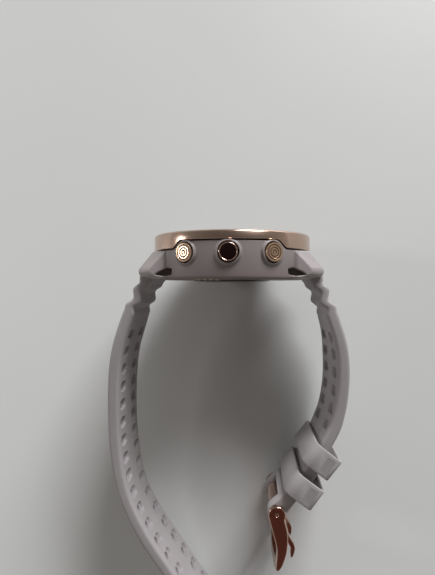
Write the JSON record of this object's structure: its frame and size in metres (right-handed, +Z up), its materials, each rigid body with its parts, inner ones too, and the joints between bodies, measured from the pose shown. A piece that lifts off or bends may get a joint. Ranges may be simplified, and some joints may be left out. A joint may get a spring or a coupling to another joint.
{
  "type": "golf gps watch",
  "caption": "Round golf GPS watch on its side: metal bezel, side buttons, two-part silicone strap with keepers and a double-prong buckle.",
  "frame": {"origin": "on the surface the watch lies on, under the middle of its bounding box", "axes": "+Z up out of the surface, close to the watch 3 o'clock direction; +X close to 12 o'clock; +Y close to the dial normal, away from the strap ends"},
  "size_m": [0.0684, 0.1265, 0.0468],
  "materials": {
    "case_polymer": "satin moulded fibre-filled polymer",
    "bezel_metal": "brushed rose gold coating",
    "strap_silicone": "soft matt silicone",
    "lens_glass": "polished",
    "sensor_glass": "polished dark",
    "display_black": "display, off",
    "button_black": "polished black inlay",
    "seal_rubber": "matt",
    "steel": "turned stainless steel",
    "contact_gold": "gold flash",
    "circuit_board": "solder mask",
    "black_plastic": "moulded",
    "battery_foil": "foil pouch",
    "antenna_ceramic": "fired ceramic"
  },
  "bodies": {
    "watch_case": {"back_gasket": "seal_rubber", "battery": "battery_foil", "bezel": "bezel_metal", "buzzer": "black_plastic", "case_back": "case_polymer", "case_back_screw_1": "steel", "case_back_screw_2": "steel", "case_back_screw_3": "steel", "case_back_screw_4": "steel", "case_body": "case_polymer", "charge_contact_1": "contact_gold", "charge_contact_2": "contact_gold", "charge_contact_3": "contact_gold", "charge_contact_4": "contact_gold", "display_backplate": "steel", "display_lens": "lens_glass", "display_panel": "display_black", "gps_antenna": "antenna_ceramic", "lens_gasket": "seal_rubber", "lower_button_seal": "seal_rubber", "lower_button_switch": "black_plastic", "main_board": "circuit_board", "select_button_seal": "seal_rubber", "select_button_switch": "black_plastic", "sensor_board": "circuit_board", "sensor_window": "sensor_glass", "shield_can": "steel", "spring_bar_12": "steel", "spring_bar_6": "steel", "upper_button_seal": "seal_rubber", "upper_button_switch": "black_plastic", "vibration_motor": "steel"},
    "strap_long": {"strap_long": "strap_silicone"},
    "strap_short": {"strap_short": "strap_silicone", "buckle_pin": "steel"},
    "keeper_upper": {"keeper_upper": "strap_silicone"},
    "keeper_lower": {"keeper_lower": "strap_silicone"},
    "buckle_frame": {"buckle_frame": "bezel_metal"},
    "buckle_tongue": {"buckle_tongue": "bezel_metal"},
    "upper_button": {"upper_button": "bezel_metal", "upper_button_clip": "steel"},
    "select_button": {"select_button": "bezel_metal", "select_button_clip": "steel", "select_button_disc": "button_black"},
    "lower_button": {"lower_button": "bezel_metal", "lower_button_clip": "steel"},
    "spring_bar_12_tip_low": {"spring_bar_12_tip_low": "steel"},
    "spring_bar_12_tip_high": {"spring_bar_12_tip_high": "steel"},
    "spring_bar_6_tip_low": {"spring_bar_6_tip_low": "steel"},
    "spring_bar_6_tip_high": {"spring_bar_6_tip_high": "steel"}
  },
  "joints": [
    {"name": "strap_long_hinge", "type": "hinge", "parent": "watch_case", "child": "strap_long", "pos_m": [-0.02217, 0.05008, 0.02385], "axis": [0.0502, -0.1204, 0.9915], "range_deg": [-70, 4]},
    {"name": "strap_short_hinge", "type": "hinge", "parent": "watch_case", "child": "strap_short", "pos_m": [0.02358, 0.05036, 0.02157], "axis": [0.0502, -0.1204, 0.9915], "range_deg": [-4, 70]},
    {"name": "keeper_upper_slide", "type": "slide", "parent": "strap_short", "child": "keeper_upper", "axis": [-0.6073, -0.7918, -0.0654], "range_m": [-0.0008, 0.0009]},
    {"name": "keeper_lower_slide", "type": "slide", "parent": "strap_short", "child": "keeper_lower", "axis": [-0.5827, -0.8098, -0.0689], "range_m": [-0.0011, 0.0003]},
    {"name": "buckle_hinge", "type": "hinge", "parent": "strap_short", "child": "buckle_frame", "pos_m": [0.01369, -0.01641, 0.01396], "axis": [0.0502, -0.1204, 0.9915], "range_deg": [-60, 20]},
    {"name": "tongue_hinge", "type": "hinge", "parent": "buckle_frame", "child": "buckle_tongue", "pos_m": [0.01369, -0.01641, 0.01396], "axis": [0.0502, -0.1204, 0.9915], "range_deg": [-5, 25]},
    {"name": "upper_button_press", "type": "slide", "parent": "watch_case", "child": "upper_button", "axis": [-0.5502, 0.1007, -0.829], "range_m": [0, 0.0006], "stiffness_N_per_m": 1500, "springref_m": -0.0003},
    {"name": "select_button_press", "type": "slide", "parent": "watch_case", "child": "select_button", "axis": [-0.0502, 0.1204, -0.9915], "range_m": [0, 0.0006], "stiffness_N_per_m": 1500, "springref_m": -0.0003},
    {"name": "lower_button_press", "type": "slide", "parent": "watch_case", "child": "lower_button", "axis": [0.4636, 0.1068, -0.8796], "range_m": [0, 0.0006], "stiffness_N_per_m": 1500, "springref_m": -0.0003},
    {"name": "spring_bar_12_tip_low_slide", "type": "slide", "parent": "watch_case", "child": "spring_bar_12_tip_low", "axis": [0.0502, -0.1204, 0.9915], "range_m": [0, 0.0009], "stiffness_N_per_m": 800, "springref_m": -0.0004},
    {"name": "spring_bar_12_tip_high_slide", "type": "slide", "parent": "watch_case", "child": "spring_bar_12_tip_high", "axis": [-0.0502, 0.1204, -0.9915], "range_m": [0, 0.0009], "stiffness_N_per_m": 800, "springref_m": -0.0004},
    {"name": "spring_bar_6_tip_low_slide", "type": "slide", "parent": "watch_case", "child": "spring_bar_6_tip_low", "axis": [0.0502, -0.1204, 0.9915], "range_m": [0, 0.0009], "stiffness_N_per_m": 800, "springref_m": -0.0004},
    {"name": "spring_bar_6_tip_high_slide", "type": "slide", "parent": "watch_case", "child": "spring_bar_6_tip_high", "axis": [-0.0502, 0.1204, -0.9915], "range_m": [0, 0.0009], "stiffness_N_per_m": 800, "springref_m": -0.0004}
  ]
}
